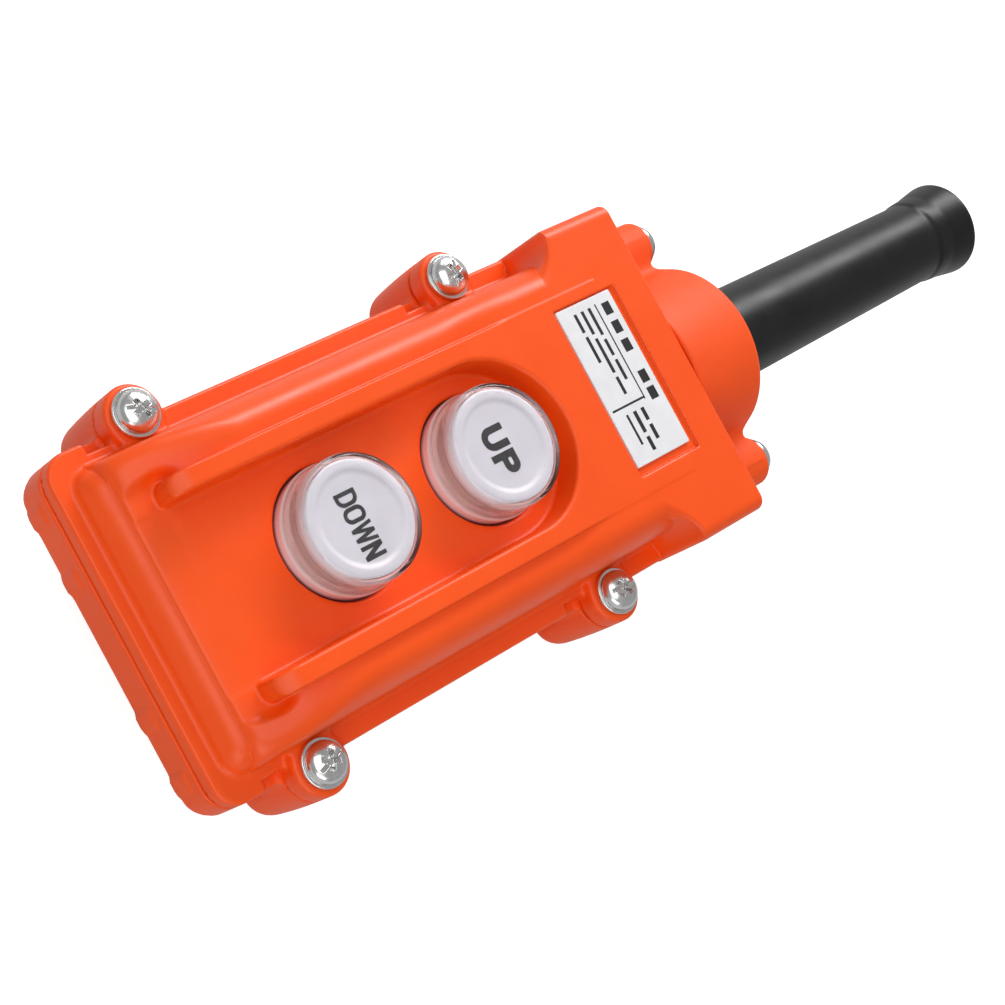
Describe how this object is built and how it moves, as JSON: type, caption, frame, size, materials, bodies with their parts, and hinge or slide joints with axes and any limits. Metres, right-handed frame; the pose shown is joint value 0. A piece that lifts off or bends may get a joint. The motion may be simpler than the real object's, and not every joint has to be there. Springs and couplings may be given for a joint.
{
  "type": "pendant control station",
  "caption": "Hand-held hoist pendant: orange screwed housing, sprung UP and DOWN push buttons under clear rain boots, contact block inside, round cable gland and rubber cable sleeve.",
  "frame": {"origin": "middle of the base of the bounding box, with the station lying on its back", "axes": "+Z out of the front face with the buttons, +Y towards the cable, +X to the right with the cable end up"},
  "size_m": [0.0776, 0.23, 0.0514],
  "materials": {
    "orange_plastic": "semi-gloss moulded, slightly textured",
    "black_rubber": "satin",
    "grey_rubber": "matt",
    "plated_steel": "bright zinc plated",
    "brass": "turned",
    "white_plastic": "smooth moulded",
    "label_white": "printed film",
    "clear_boot": "clear glossy silicone",
    "black_plastic": "moulded"
  },
  "bodies": {
    "housing": {"rear_housing": "orange_plastic", "front_cover": "orange_plastic", "gland_cap": "orange_plastic", "cover_gasket": "grey_rubber", "cable_sleeve": "black_rubber", "label_plate": "label_white", "cover_washer_1": "plated_steel", "cover_washer_2": "plated_steel", "cover_washer_3": "plated_steel", "cover_washer_4": "plated_steel", "cover_screw_1": "plated_steel", "cover_screw_2": "plated_steel", "cover_screw_3": "plated_steel", "cover_screw_4": "plated_steel", "gland_washer_1": "plated_steel", "gland_washer_2": "plated_steel", "gland_screw_1": "plated_steel", "gland_screw_2": "plated_steel", "block_screw_1": "plated_steel", "block_screw_2": "plated_steel", "cable_clamp": "plated_steel", "clamp_screw_1": "plated_steel", "clamp_screw_2": "plated_steel", "threaded_insert_1": "brass", "threaded_insert_2": "brass", "threaded_insert_3": "brass", "threaded_insert_4": "brass", "gland_insert_1": "brass", "gland_insert_2": "brass", "contact_block": "black_plastic", "down_fixed_contact_1": "brass", "down_fixed_contact_2": "brass", "down_terminal_screw_1": "plated_steel", "down_terminal_screw_2": "plated_steel", "down_return_spring": "plated_steel", "down_rain_boot": "clear_boot", "down_boot_retainer": "white_plastic", "up_fixed_contact_1": "brass", "up_fixed_contact_2": "brass", "up_terminal_screw_1": "plated_steel", "up_terminal_screw_2": "plated_steel", "up_return_spring": "plated_steel", "up_rain_boot": "clear_boot", "up_boot_retainer": "white_plastic"},
    "down_button": {"down_button_cap": "white_plastic", "down_plunger": "white_plastic", "down_contact_bridge": "brass"},
    "up_button": {"up_button_cap": "white_plastic", "up_plunger": "white_plastic", "up_contact_bridge": "brass"}
  },
  "joints": [
    {"name": "down_press", "type": "slide", "parent": "housing", "child": "down_button", "axis": [0, 0, -1], "range_m": [0, 0.004], "stiffness_N_per_m": 600, "springref_m": -0.003, "deforming": ["down_return_spring", "down_rain_boot"]},
    {"name": "up_press", "type": "slide", "parent": "housing", "child": "up_button", "axis": [0, 0, -1], "range_m": [0, 0.004], "stiffness_N_per_m": 600, "springref_m": -0.003, "deforming": ["up_return_spring", "up_rain_boot"]}
  ]
}
